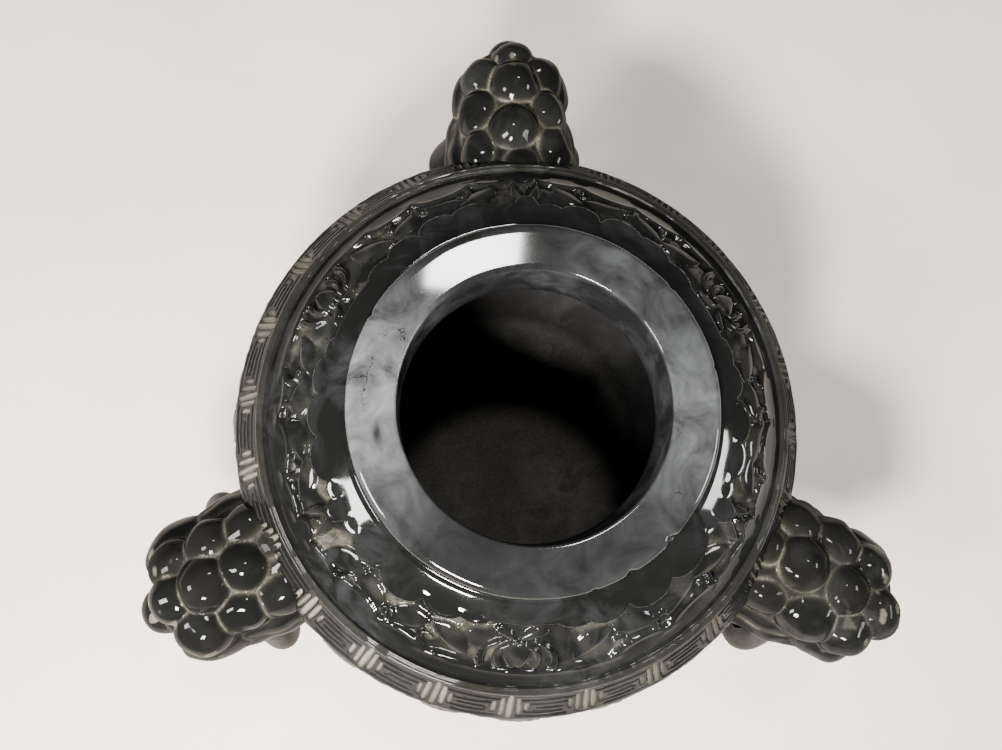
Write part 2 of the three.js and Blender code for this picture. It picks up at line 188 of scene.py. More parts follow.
# The upper half of the vessel: hollow neck, flat polished rim, collar and carved shoulder, turned and
# carved from one block of near-black jade. Both halves close inside the wall, under the raised fillet.
MOUTH_RADIUS = 33.6 * MM
RIM_ROUNDING = 2.2 * MM
ARRIS = 0.6 * MM
COLLAR_FOOT_Z = 101.8 * MM
COLLAR_FOOT_RADIUS = 47.2 * MM
SHOULDER_END = (67.8 * MM, 87.8 * MM)
SHOULDER_BULGE = (58.6 * MM, 97.0 * MM)
FILLET_CREST = (68.6 * MM, 88.6 * MM)
WALL_SEAM = (68.5 * MM, 84.0 * MM)
WALL_JOINT = (58.5 * MM, 82.0 * MM)
NECK_Z = 88.5 * MM
CEILING_Z = 87.9 * MM
BOWL_RADIUS = 68.6 * MM
BOWL_Z = 67.8 * MM
PLAIN_COLUMNS = 240
RIM_COLUMNS = 480
FINE_COLUMNS = 1440
CARVED_ROWS = 43
CARVED_FROM = 20.6 * MM
CARVED_TO = 4.6 * MM
GROUND_DEPTH = 1.15 * MM
WALL_WIDTH = 0.40 * MM
LIP_HEIGHT = 0.13 * MM
LIP_PLACE = 0.35 * MM
LIP_WIDTH = 0.50 * MM


def soft_step(low, high, value):
    share = np.clip((value - low) / (high - low), 0, 1)
    return share * share * (3 - 2 * share)


def smooth_noise(seed, size, count=24):
    """A smooth uneven field, about -1 to 1, of points in metres with features of the given size."""
    source = np.random.default_rng(seed)
    pulls = source.normal(size=(count, 3)) * (2 * math.pi / size) * 0.45
    phases = source.uniform(0, 2 * math.pi, count)

    def field(points):
        return np.sin(points @ pulls.T + phases).sum(axis=-1) / math.sqrt(count / 2) * 0.6

    return field


def quarter_arc(side, end, steps):
    turns = np.linspace(0, math.pi / 2, steps + 1)
    radius = end[0] + (side[0] - end[0]) * np.cos(turns)
    height = side[1] + (end[1] - side[1]) * np.sin(turns)
    return np.stack([radius, height], axis=1)


def bezier(start, pull, end, shares):
    shares = shares[:, None]
    start, pull, end = np.array(start), np.array(pull), np.array(end)
    return (1 - shares) ** 2 * start + 2 * shares * (1 - shares) * pull + shares ** 2 * end


def outward(line):
    """The unit normal of each point of a radius and height line that runs from the rim down."""
    along = np.gradient(line, axis=0)
    along /= np.linalg.norm(along, axis=1, keepdims=True)
    return np.stack([-along[:, 1], along[:, 0]], axis=1)


def ring_of(line, normals, angles, lift=None):
    """Rows of points round the axis, lifted off the line along its normals by lift[row, column]."""
    lift = np.zeros((len(line), len(angles))) if lift is None else lift
    radius = line[:, :1] + normals[:, :1] * lift
    height = line[:, 1:] + normals[:, 1:] * lift
    return np.stack([
        AXIS[0] + radius * np.cos(angles),
        AXIS[1] + radius * np.sin(angles),
        height,
    ], axis=-1)


def column_angles(count):
    return np.linspace(0, 2 * math.pi, count, endpoint=False)


def shell(name, rows, closed):
    """A mesh through rows of points round the axis. A row may have a whole multiple of its neighbour's
    points. A closed one runs on from its last row to its first, an open one is capped at both ends."""
    starts = np.cumsum([0] + [len(row) for row in rows])
    faces = []
    pairs = list(zip(range(len(rows)), range(1, len(rows))))
    if closed:
        pairs.append((len(rows) - 1, 0))
    for here, there in pairs:
        count_here, count_there = len(rows[here]), len(rows[there])
        count = min(count_here, count_there)
        step_here, step_there = count_here // count, count_there // count
        for k in range(count):
            near = [starts[here] + (k * step_here + i) % count_here for i in range(step_here + 1)]
            far = [starts[there] + (k * step_there + i) % count_there for i in range(step_there + 1)]
            faces.append([int(i) for i in far + near[::-1]])
    if not closed:
        faces.append([int(i) for i in range(starts[0], starts[1])])
        faces.append([int(i) for i in range(starts[-2], starts[-1])][::-1])
    mesh = bpy.data.meshes.new(name)
    mesh.from_pydata(np.concatenate(rows).tolist(), [], faces)
    mesh.polygons.foreach_set("use_smooth", [True] * len(mesh.polygons))
    return link(name, mesh)


def paint(piece, name, values):
    """Stores one number for each corner point, which the jade's material reads by its name."""
    layer = piece.data.attributes.new(name, "FLOAT", "POINT")
    layer.data.foreach_set("value", np.asarray(values, dtype=np.float32))


# The carving of half a panel: s runs from the middle of the blossom to the handle, t runs up the slope. The
# lists below are in millimetres. Each half is stretched to its own width between a blossom and a handle.
HANDLES = (91.5, 208, 332)
BLOSSOMS = (29, 152, 266)
HALF_PANEL = 60 * MM
BLOSSOM_REACH = 12 * MM
HANGING_LINE = 19.6
RISING_LINE = 5.2
# The margins' lobes: s, half width, half height. Those at the handle have their own t too.
HANGING_LOBES = ((13.4, 4.0, 1.6), (22.2, 5.3, 3.0), (33.4, 6.4, 4.4), (45.4, 6.2, 4.0), (54.6, 3.6, 2.2))
RISING_LOBES = ((13.6, 4.4, 1.0), (26.4, 6.4, 2.6), (39.6, 7.2, 3.3), (51.8, 5.6, 2.2))
HANDLE_LOBES = ((60, 19.6, 3.4, 5.6), (60, 5.2, 3.0, 3.6))
# Leaves and petals: middle, half length and half width, turn in degrees, rise above the margins.
LEAVES = (
    ((16.8, 12.0), (6.0, 3.1), 34, -0.30),
    ((27.8, 11.8), (6.0, 3.4), -26, -0.40),
    ((38.4, 11.2), (6.2, 3.0), 18, -0.35),
    ((48.6, 11.8), (6.0, 3.2), -30, -0.35),
)
EMBLEM_AND_PETALS = (
    ((57.8, 13.0), (4.8, 1.5), 70, 0.05),
    ((60.0, 9.4), (3.2, 1.5), 90, 0.10),
    ((0.0, 10.6), (4.0, 3.1), 90, 0.25),
    ((3.4, 16.8), (3.4, 1.5), 20, -0.05),
)
# Curls: middle, radius, start and sweep in degrees, half width.
SCROLLS = (
    ((21.8, 8.9), 2.5, -70, 210, 1.15),
    ((33.2, 9.0), 2.5, 215, -210, 1.15),
    ((44.4, 8.7), 2.4, -55, 205, 1.15),
)
BLOSSOM_CURLS = (
    ((0.0, 10.8), 5.6, -52, 112, 1.35),
    ((0.6, 10.8), 8.8, -36, 84, 1.25),
)
# How much the hand-cut forms stray from those places and sizes.
DRIFT = 0.5
GROWTH = (0.88, 1.14)
HELD_SHARE = 0.25
DRAWS = 32


def lobe_distance(s, t, lobes):
    """How far each point lies outside the nearest of some round lobes: middle, half widths."""
    nearest = np.full(s.shape, 1.0)
    for middle_s, middle_t, half_s, half_t in lobes:
        share = np.hypot((s - middle_s) / half_s, (t - middle_t) / half_t)
        nearest = np.minimum(nearest, (share - 1) * min(half_s, half_t))
    return nearest


def margin_distance(s, t, shift, grow):
    """How far each point of half a panel lies outside the raised margins above, below and at the handle."""
    hanging = [((place + shift[i][0]) * MM, HANGING_LINE * MM, width * grow[i] * MM, height * grow[i] * MM)
               for i, (place, width, height) in enumerate(HANGING_LOBES)]
    rising = [((place + shift[i][0]) * MM, RISING_LINE * MM, width * MM, height * grow[i] * MM)
              for i, (place, width, height) in enumerate(RISING_LOBES, len(HANGING_LOBES))]
    at_handle = [tuple(value * MM for value in lobe) for lobe in HANDLE_LOBES]
    top = np.minimum(HANGING_LINE * MM - t, lobe_distance(s, t, hanging))
    low = np.minimum(t - RISING_LINE * MM, lobe_distance(s, t, rising))
    return np.minimum(np.minimum(top, low), lobe_distance(s, t, at_handle))


def leaf(s, t, middle, half, turn, rise):
    """The height of one pointed, slightly bent leaf or petal above the ground."""
    turn = math.radians(turn)
    along = (s - middle[0]) * math.cos(turn) + (t - middle[1]) * math.sin(turn)
    across = (t - middle[1]) * math.cos(turn) - (s - middle[0]) * math.sin(turn)
    across = across + 0.18 * along ** 2 / half[0]
    reach = np.clip(1 - np.abs(along / half[0]) ** 2.2, 0, 1) ** 0.9 * half[1]
    share = np.abs(across) / np.maximum(reach, 0.01 * MM)
    dome = np.sqrt(np.clip(1 - share ** 2, 0, 1))
    return np.where(share < 1, (GROUND_DEPTH + rise * MM) * dome, 0)


def hook(s, t, middle, radius, start, sweep, width):
    """The height of one curled ridge that thins to a point, like the end of a cloud scroll."""
    away_s, away_t = s - middle[0], t - middle[1]
    side = 1 if sweep > 0 else -1
    turned = np.degrees(np.arctan2(away_t, away_s)) - start
    share = (turned * side) % 360 / abs(sweep)
    thick = width * (1 - 0.75 * np.clip(share, 0, 1))
    spiral = radius * (1 - 0.45 * np.clip(share, 0, 1))
    off = np.abs(np.hypot(away_s, away_t) - spiral)
    dome = np.sqrt(np.clip(1 - (off / thick) ** 2, 0, 1))
    return np.where((share < 1) & (off < thick), GROUND_DEPTH * dome, 0)


def shoulder_height(angles, along):
    """The carved shoulder: lobed margins round a sunk ground, with a blossom in the middle of each of
    three panels, leaves and curls on both its sides, and a small forked emblem above each handle."""
    degrees = np.degrees(angles)[None, :] + np.zeros((len(along), 1))
    t = along[:, None] + np.zeros((1, len(angles)))
    motif = np.zeros(t.shape)
    edge = np.full(t.shape, 1.0)
    forms = [(form, 1.0) for form in LEAVES] + [(form, HELD_SHARE) for form in EMBLEM_AND_PETALS]
    first_form = len(HANGING_LOBES) + len(RISING_LOBES)
    for panel, middle in enumerate(BLOSSOMS):
        away = (degrees - middle + 180) % 360 - 180
        for side in (1, -1):
            span = min((side * (handle - middle)) % 360 for handle in HANDLES)
            s = away * side / span * HALF_PANEL
            half = (s >= 0) & (s <= HALF_PANEL)
            near = (s > -BLOSSOM_REACH) & (s <= HALF_PANEL)
            source = np.random.default_rng(10 * panel + side + 3)
            shift = source.normal(0, DRIFT, (DRAWS, 2))
            grow = source.uniform(*GROWTH, DRAWS)
            edge = np.where(half, margin_distance(s, t, shift, grow), edge)
            for i, ((spot, size, turn, rise), freedom) in enumerate(forms, first_form):
                swing = shift[i] * freedom
                place = ((spot[0] + swing[0]) * MM, (spot[1] + 0.6 * swing[1]) * MM)
                size = (size[0] * grow[i] * MM, size[1] * grow[i] * MM)
                height = leaf(s, t, place, size, turn + 12 * swing[1], rise)
                motif = np.where(near, np.maximum(motif, height), motif)
            for i, (spot, curl, start, sweep, width) in enumerate(SCROLLS + BLOSSOM_CURLS):
                swing = shift[i][1] if i < len(SCROLLS) else 0
                place = ((spot[0] + swing) * MM, spot[1] * MM)
                height = hook(s, t, place, curl * MM, start, sweep, width * MM)
                motif = np.where(half, np.maximum(motif, height), motif)
    ground = soft_step(0, WALL_WIDTH, edge)
    height = np.maximum(-GROUND_DEPTH * ground, np.where(edge > 0, motif - GROUND_DEPTH, -GROUND_DEPTH))
    height += LIP_HEIGHT * np.exp(-((edge + LIP_PLACE) / LIP_WIDTH) ** 2)
    return height, ground


def corners_of(height, reach, low, high):
    """Where a carved surface lies lower than what is round it, from 0 on the open to 1 in a corner."""
    steps = range(-reach, reach + 1)
    rows = np.pad(height, ((reach, reach), (0, 0)), mode="edge")
    beside = sum(rows[reach + step:reach + step + len(height)] for step in steps) / len(steps)
    around = sum(np.roll(beside, step, axis=1) for step in steps) / len(steps)
    return soft_step(low, high, around - height)


shoulder_ends = ((COLLAR_FOOT_RADIUS, COLLAR_FOOT_Z), SHOULDER_BULGE, SHOULDER_END)
fine_shares = np.linspace(0, 1, 400)
fine_steps = np.linalg.norm(np.diff(bezier(*shoulder_ends, fine_shares), axis=0), axis=1)
shoulder_length = fine_steps.sum()
up_fine = shoulder_length - np.concatenate([[0], np.cumsum(fine_steps)])
up_slope = np.concatenate([
    np.linspace(shoulder_length, CARVED_FROM + 0.8 * MM, 6),
    np.linspace(CARVED_FROM, CARVED_TO, CARVED_ROWS),
    np.linspace(CARVED_TO - 0.6 * MM, 0, 5),
])
shoulder_line = bezier(*shoulder_ends, np.interp(-up_slope, -up_fine, fine_shares))
fine_angles = column_angles(FINE_COLUMNS)
carved, ground = shoulder_height(fine_angles, up_slope)
shoulder_rows = ring_of(shoulder_line, outward(shoulder_line), fine_angles, carved)
uneven = smooth_noise(3, 9 * MM)(shoulder_rows)[..., None] * 0.09 * MM
shoulder_rows[..., 2:] += uneven * (0.35 + ground[..., None])

plain_angles = column_angles(PLAIN_COLUMNS)
rim_angles = column_angles(RIM_COLUMNS)
neck_line = np.array([(MOUTH_RADIUS, z) for z in np.linspace(NECK_Z, RIM_Z - 2 * MM, 6)])
rim_turn = quarter_arc((RIM_RADIUS, RIM_Z - RIM_ROUNDING), (RIM_RADIUS - RIM_ROUNDING, RIM_Z), 6)[::-1]
flat_radii = np.linspace(MOUTH_RADIUS + ARRIS, RIM_RADIUS - RIM_ROUNDING, 13)[:-1]
rim_line = np.concatenate([
    [[MOUTH_RADIUS, RIM_Z - ARRIS], [MOUTH_RADIUS + 0.2 * MM, RIM_Z - 0.18 * MM]],
    [[radius, RIM_Z] for radius in flat_radii],
    rim_turn,
    [[RIM_RADIUS, RIM_Z - 3.2 * MM], [RIM_RADIUS + 0.05 * MM, COLLAR_FOOT_Z + 0.35 * MM]],
    [[RIM_RADIUS + 0.35 * MM, COLLAR_FOOT_Z - 0.12 * MM]],
    [[RIM_RADIUS + 0.8 * MM, COLLAR_FOOT_Z - 0.02 * MM]],
])
neck_rows = ring_of(neck_line, outward(neck_line), plain_angles)
rim_rows = ring_of(rim_line, outward(rim_line), rim_angles)
worn = smooth_noise(5, 16 * MM)(rim_rows) * 0.10 * MM
rim_rows[..., :2] += (rim_rows[..., :2] - AXIS) * (worn / RIM_RADIUS)[..., None]
rim_degrees = np.degrees(rim_angles)


def away_from(degrees, middle):
    return np.abs((degrees - middle + 180) % 360 - 180)


# Small chips along the rim's outer edge: angle in degrees, width and depth in millimetres.
RIM_CHIPS = (
    (315, 2.6, 0.8), (299, 2.2, 0.6), (287, 1.3, 0.3), (152, 1.6, 0.35), (41, 1.4, 0.3), (12, 1.2, 0.25),
)
for angle, width, depth in RIM_CHIPS:
    off = np.radians(away_from(rim_degrees, angle)) * RIM_RADIUS
    bite = np.exp(-(off / (0.5 * width * MM)) ** 2)
    on_edge = np.exp(-((rim_line[:, 0] - RIM_RADIUS) / (1.6 * MM)) ** 2) * (rim_line[:, 1] > RIM_Z - 3 * MM)
    cut = depth * MM * on_edge[:, None] * bite[None, :]
    rim_rows[..., 2] -= cut
    rim_rows[..., :2] -= (rim_rows[..., :2] - AXIS) * (cut / RIM_RADIUS)[..., None]

# The fillet is two low uneven beads with a fine groove between them, shared by both halves.
BEADING = 0.10 * MM
fillet_beads = smooth_noise(6, 5 * MM)
fillet_line = np.array([
    (SHOULDER_END[0] + 0.12 * MM, SHOULDER_END[1] - 0.10 * MM),
    (SHOULDER_END[0] + 0.38 * MM, SHOULDER_END[1] + 0.50 * MM),
    FILLET_CREST,
])
fillet_rows = ring_of(fillet_line, fillet_line * 0, fine_angles)
fillet_rows[..., 2] += fillet_beads(fillet_rows) * BEADING
ceiling_line = quarter_arc((BOWL_RADIUS, BOWL_Z), (MOUTH_RADIUS + ARRIS, CEILING_Z), 12)
ceiling_line = ceiling_line[ceiling_line[:, 0] < WALL_JOINT[0]]
joint_line = np.concatenate([[WALL_SEAM, WALL_JOINT], ceiling_line])
joint_rows = ring_of(joint_line, joint_line * 0, plain_angles)
upper_rows = [*neck_rows, *rim_rows, *shoulder_rows, *fillet_rows, *joint_rows]
vessel_upper = shell("vessel_upper", upper_rows, closed=True)


def levels(rows, value):
    """One value for every point of some rows."""
    return [np.full(len(row), value) for row in rows]


# Pale dust lies in the sunk ground in broken patches, most of it on the left, and wear dulls the corners.
patches = smooth_noise(11, 8 * MM)(shoulder_rows)
side_dust = 0.35 + 0.65 * np.cos((fine_angles - math.radians(215)) / 2) ** 4
corner_share = corners_of(carved, 4, 0.12 * MM, 0.60 * MM)
film = 0.06 * soft_step(-0.4, 1.2, smooth_noise(12, 5 * MM)(shoulder_rows))
bottom = soft_step(0.62 * GROUND_DEPTH, 0.95 * GROUND_DEPTH, -carved)
settled = bottom * soft_step(0.15, 0.75, patches) * side_dust
broken = 0.45 + 0.55 * soft_step(-0.7, 0.8, smooth_noise(13, 1.6 * MM, 40)(shoulder_rows))
carving_dust = ground * (film + 0.33 * settled * broken)
outer_margin = soft_step(6 * MM, 3 * MM, up_slope)[:, None] * (1 - ground)
carving_recess = ground * (0.30 + 0.42 * corner_share) + 0.60 * outer_margin

# Pale clouds in the polished rim, strongest at the left: middle and width in degrees, share.
RIM_CLOUDS = ((178, 34, 1.0), (285, 45, 0.10), (0, 34, 0.55), (60, 22, 0.25))
# A dark oblong flaw among them: angle in degrees, then radius, half length and half width in millimetres.
FLAW_ANGLE, FLAW_RADIUS, FLAW_LENGTH, FLAW_WIDTH = 191.5, 38.6, 2.0, 0.9
clouded = sum(share * np.exp(-(away_from(rim_degrees, middle) / width) ** 2)
              for middle, width, share in RIM_CLOUDS)
rim_pale = np.clip(clouded, 0, 1)[None, :] * (rim_line[:, 1:] > RIM_Z - 1 * MM)
flaw_along = np.radians(rim_degrees - FLAW_ANGLE)[None, :] * FLAW_RADIUS * MM
flaw_across = rim_line[:, :1] - FLAW_RADIUS * MM
flaw_off = np.hypot(
    (flaw_along - 0.6 * flaw_across) / (FLAW_LENGTH * MM),
    flaw_across / (FLAW_WIDTH * MM),
)
rim_pale = rim_pale * (1 - np.exp(-flaw_off ** 2))
paint(vessel_upper, "recess", np.concatenate([
    *levels(neck_rows, 0.35), *levels(rim_rows, 0.0), *carving_recess,
    *levels(fillet_rows, 0.7), *levels(joint_rows, 0.6),
]))
paint(vessel_upper, "dust", np.concatenate([
    *levels(neck_rows, 0.0), *levels(rim_rows, 0.0), *carving_dust,
    *levels(fillet_rows, 0.05), *levels(joint_rows, 0.0),
]))
paint(vessel_upper, "pale", np.concatenate([
    *levels(neck_rows, 0.0), *rim_pale, *levels(shoulder_rows, 0.0),
    *levels(fillet_rows, 0.0), *levels(joint_rows, 0.0),
]))


def mix_colours(tree, share, first, second):
    made = add_node(tree, "Mix", {0: share}, data_type="RGBA")
    colours = [socket for socket in made.inputs if socket.type == "RGBA"]
    tree.links.new(first, colours[0])
    tree.links.new(second, colours[1])
    return [socket for socket in made.outputs if socket.type == "RGBA"][0]


def jade_group():
    """Colour, roughness, gloss and a height for polished jade: clouds, fine cracks and settled dust."""
    group = bpy.data.node_groups.new("clouded_jade", "ShaderNodeTree")
    for name in ("Dark", "Cloud", "Dust"):
        group.interface.new_socket(name, in_out="INPUT", socket_type="NodeSocketColor")
    for name in ("Polish", "Matte", "Cloudiness", "Recess", "Dust Amount", "Pale"):
        group.interface.new_socket(name, in_out="INPUT", socket_type="NodeSocketFloat")
    group.interface.new_socket("Color", in_out="OUTPUT", socket_type="NodeSocketColor")
    for name in ("Roughness", "Gloss", "Height"):
        group.interface.new_socket(name, in_out="OUTPUT", socket_type="NodeSocketFloat")
    inputs = group.nodes.new("NodeGroupInput").outputs
    outputs = group.nodes.new("NodeGroupOutput").inputs
    place = add_node(group, "TexCoord").outputs["Object"]

    def noise(scale, detail, roughness, distortion=0.0):
        return add_node(group, "TexNoise", {
            "Vector": place, "Scale": scale, "Detail": detail, "Roughness": roughness,
            "Distortion": distortion,
        })

    cloud = noise(95, 6, 0.62, 0.9)
    patch = noise(32, 3, 0.5).outputs["Fac"]
    speck = noise(1500, 3, 0.7).outputs["Fac"]
    ripple = noise(260, 2, 0.5).outputs["Fac"]

    # Clouds all over the stone, and denser pale ones where the rim is painted pale.
    cloud_share = remap(group, cloud.outputs["Fac"], 0.42, 0.72)
    both = combine(group, "MULTIPLY", cloud_share, remap(group, patch, 0.36, 0.66))
    everywhere = combine(group, "MULTIPLY", both, inputs["Cloudiness"])
    on_pale = combine(group, "MULTIPLY", remap(group, cloud.outputs["Fac"], 0.22, 0.66), inputs["Pale"])
    clouds = combine(group, "MAXIMUM", everywhere, on_pale)

    # Hairline cracks in a few patches of the pale rim.
    bend = add_node(group, "VectorMath", {0: cloud.outputs["Color"], 1: (0.012, 0.012, 0.012)},
                    operation="MULTIPLY")
    bent = add_node(group, "VectorMath", {0: place, 1: bend.outputs[0]}, operation="ADD")
    web = add_node(group, "TexVoronoi", {"Vector": bent.outputs[0], "Scale": 70}, feature="DISTANCE_TO_EDGE")
    hairline = remap(group, web.outputs["Distance"], 0.0, 0.008, 0.7, 0.0)
    cracked = combine(group, "MULTIPLY", hairline, remap(group, patch, 0.60, 0.66))
    crack = combine(group, "MULTIPLY", cracked, remap(group, inputs["Pale"], 0.02, 0.2))
    stone_share = combine(group, "SUBTRACT", clouds, crack, clamp=True)
    stone = mix_colours(group, stone_share, inputs["Dark"], inputs["Cloud"])

    # Grainy dust over the stone.
    grain = remap(group, speck, 0.35, 0.65, 0.55, 1.15)
    dust_share = combine(group, "MULTIPLY", inputs["Dust Amount"], grain, clamp=True)
    group.links.new(mix_colours(group, dust_share, stone, inputs["Dust"]), outputs["Color"])

    # The polish is smeared, and gives way in the recesses and under the dust.
    polish = combine(group, "ADD", inputs["Polish"], remap(group, patch, 0.35, 0.7, -0.05, 0.08))
    wear = combine(group, "MAXIMUM", inputs["Recess"], dust_share)
    rough = add_node(group, "Mix", {"Factor": wear, "A": polish, "B": inputs["Matte"]}, data_type="FLOAT")
    group.links.new(rough.outputs[0], outputs["Roughness"])
    group.links.new(remap(group, wear, 0.0, 1.0, 0.60, 0.05), outputs["Gloss"])

    fine = combine(group, "MULTIPLY", speck, wear)
    broad = combine(group, "MULTIPLY", ripple, 0.35)
    grained = combine(group, "ADD", fine, broad)
    group.links.new(combine(group, "SUBTRACT", grained, crack), outputs["Height"])
    return group


clouded_jade = jade_group()
COAT_IOR = 1.62
COAT_ROUGHNESS = 0.06
BUMP_HEIGHT = 0.1 * MM


def jade_material(name, dark, cloud, dust, polish, matte, cloudiness, bump, coated=True, specular=0.0):
    """The jade's finish. The polish is the clear coat, since the bare stone under it hardly shines."""
    material, tree, surface = new_material(name)
    group = add_node(tree, "Group", node_tree=clouded_jade)
    for socket, value in (
        ("Dark", (*dark, 1)), ("Cloud", (*cloud, 1)), ("Dust", (*dust, 1)),
        ("Polish", polish), ("Matte", matte), ("Cloudiness", cloudiness),
    ):
        group.inputs[socket].default_value = value
    for socket, painted in (("Recess", "recess"), ("Dust Amount", "dust"), ("Pale", "pale")):
        amount = add_node(tree, "Attribute", attribute_name=painted)
        tree.links.new(amount.outputs["Fac"], group.inputs[socket])
    relief = add_node(tree, "Bump", {
        "Height": group.outputs["Height"], "Strength": bump, "Distance": BUMP_HEIGHT,
    })
    tree.links.new(group.outputs["Color"], surface.inputs["Base Color"])
    tree.links.new(group.outputs["Roughness"], surface.inputs["Roughness"])
    tree.links.new(relief.outputs["Normal"], surface.inputs["Normal"])
    if coated:
        tree.links.new(group.outputs["Gloss"], surface.inputs["Coat Weight"])
    surface.inputs["Specular IOR Level"].default_value = specular
    surface.inputs["Coat IOR"].default_value = COAT_IOR
    surface.inputs["Coat Roughness"].default_value = COAT_ROUGHNESS
    return material


vessel_jade = jade_material(
    "vessel_jade", dark=(0.005, 0.0052, 0.005), cloud=(0.15, 0.157, 0.166), dust=(0.19, 0.178, 0.142),
    polish=0.10, matte=0.46, cloudiness=0.13, bump=0.4,
)
hollow_jade = jade_material(
    "hollow_jade", dark=(0.009, 0.009, 0.0095), cloud=(0.066, 0.067, 0.068), dust=(0.2, 0.19, 0.16),
    polish=0.45, matte=0.85, cloudiness=0.8, bump=0.5, coated=False, specular=0.04,
)
vessel_upper.data.materials.append(vessel_jade)
vessel_upper.data.materials.append(hollow_jade)


def faces_between(piece, rows, first, last):
    counts = [min(len(a), len(b)) for a, b in zip(rows, rows[1:])]
    starts = np.cumsum([0] + counts)
    return [piece.data.polygons[k] for k in range(starts[first], starts[min(last, len(counts))])]


def finish_hollow(piece, rows, first, last):
    """Gives the faces between two rows of a shell the plainer finish of the hollow."""
    for face in faces_between(piece, rows, first, last):
        face.material_index = 1


def part_at_seam(piece, rows, crest):
    """Keeps the hidden faces under the fillet's crest from bending the light on the fillet itself."""
    for face in faces_between(piece, rows, crest, crest + 1):
        face.use_smooth = False


upper_joint_row = len(upper_rows) - len(joint_rows)
finish_hollow(vessel_upper, upper_rows, 0, len(neck_rows))
finish_hollow(vessel_upper, upper_rows, upper_joint_row, len(upper_rows))
part_at_seam(vessel_upper, upper_rows, upper_joint_row - 1)
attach(vessel_upper, "root")
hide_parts("censer_body")


# The lower half of the vessel: the key-fret band with its wheel-cut lines, the cloud-carved belly, the flat
# underside and the bottom of the hollow. It is the same block, cut deeper and left unpolished in the lines.
FRET_TOP = (70.4 * MM, 87.0 * MM)
FRET_FOOT = (78.0 * MM, 75.8 * MM)
FRET_RADIUS = 74.2 * MM
BELLY = (80.6 * MM, 63.8 * MM)
BELLY_TOP_PULL = (80.9 * MM, 70.5 * MM)
BASE = (38.0 * MM, 24.0 * MM)
HOLLOW_FLOOR = (33.5 * MM, 33.0 * MM)
FRET_COUNT = 24
FRET_OFFSET = 11.5
FRET_ROWS = 37
BELLY_COLUMNS = 480
BELLY_ROWS = 64
BELLY_TOP_ROWS = 14
FRET_DEPTH = 0.9 * MM
SHALLOW_SHARE = 0.55
CLOUD_DEPTH = 1.5 * MM
CLOUD_CIRCLE = 80
CLOUD_ROWS = 5
CLOUDS_ROUND = 20
FIRST_CLOUD = 5.5
CLOUD_SPACING = 8.6
SPIRAL_PITCH = 2.3
SPIRAL_DEPTH = 0.28
# How far the tall, middle, short and innermost strokes reach from the middle of their spiral, and how much
# the hand that cut them strayed, all in millimetres.
TALL, MID, SHORT, STUB = 9.71, 7.66, 5.6, 3.4
STRAY = 0.13
LEAN = 0.10


def fret_strokes(unit):
    """One rectangular spiral and half the bars between it and its neighbours: start, end, half width, with
    places in millimetres round the band and down from its top. Each spiral mirrors the one before it."""
    way = 1 if unit % 2 else -1
    yield (TALL, 0.5), (TALL, 13.0), 0.58
    yield (-MID, 1.9), (-MID, 11.4), 0.52
    yield (MID, 2.1), (MID, 11.8), 0.52
    yield (-SHORT, 4.7), (-SHORT, 9.2), 0.46
    yield (SHORT, 4.5), (SHORT, 9.4), 0.46
    yield (-MID, 1.9), (MID, 1.9), 0.34
    yield (-MID * way, 11.8), (4.6 * way, 11.8), 0.36
    yield (-SHORT * way, 4.5), (SHORT * way, 4.5), 0.34
    yield (-SHORT, 9.4), (STUB, 9.4), 0.36
    yield (-STUB, 6.9), (STUB, 6.9), 0.36
    yield (-STUB * way, 6.9), (-STUB * way, 8.2), 0.38


def fret_height(angles, down):
    """The depth of the cut lines of the key fret, and how pale the dust in them is. The upright strokes
    between two spirals are cut deepest and hold the most dust."""
    depth = np.zeros((len(down), len(angles)))
    pale = np.zeros(depth.shape)
    unit_angle = 2 * math.pi / FRET_COUNT
    source = np.random.default_rng(21)
    for unit in range(FRET_COUNT):
        middle = math.radians(FRET_OFFSET) + (unit + 0.5) * unit_angle
        away = (angles - middle + math.pi) % (2 * math.pi) - math.pi
        columns = np.nonzero(np.abs(away) < 0.62 * unit_angle)[0]
        across = (away[columns] * FRET_RADIUS / MM)[None, :]
        below = (down / MM)[:, None]
        for (x0, y0), (x1, y1), half in fret_strokes(unit):
            upright = x0 == x1
            wander = source.normal(0, STRAY, 4)
            lean = LEAN * source.normal() if upright else 0
            x0, x1 = x0 + wander[0], x1 + wander[1] + lean
            y0, y1 = y0 + 1.5 * wander[2], y1 + 1.5 * wander[3]
            span = max(math.hypot(x1 - x0, y1 - y0), 0.01)
            along = ((across - x0) * (x1 - x0) + (below - y0) * (y1 - y0)) / span ** 2
            along = np.clip(along, 0, 1)
            swell = half * source.uniform(0.85, 1.2) * (0.78 + 0.44 * np.sin(math.pi * along) ** 0.6)
            off = np.hypot(across - x0 - along * (x1 - x0), below - y0 - along * (y1 - y0))
            cut = 1 - soft_step(0.62, 1.18, off / swell)
            grouped = upright and abs(x0) > 5
            chalk = source.uniform(0.55, 1.0) * (0.9 if grouped else 0.12)
            depth[:, columns] = np.maximum(depth[:, columns], cut * (1.0 if grouped else SHALLOW_SHARE))
            pale[:, columns] = np.maximum(pale[:, columns], cut * chalk)
    return depth, pale


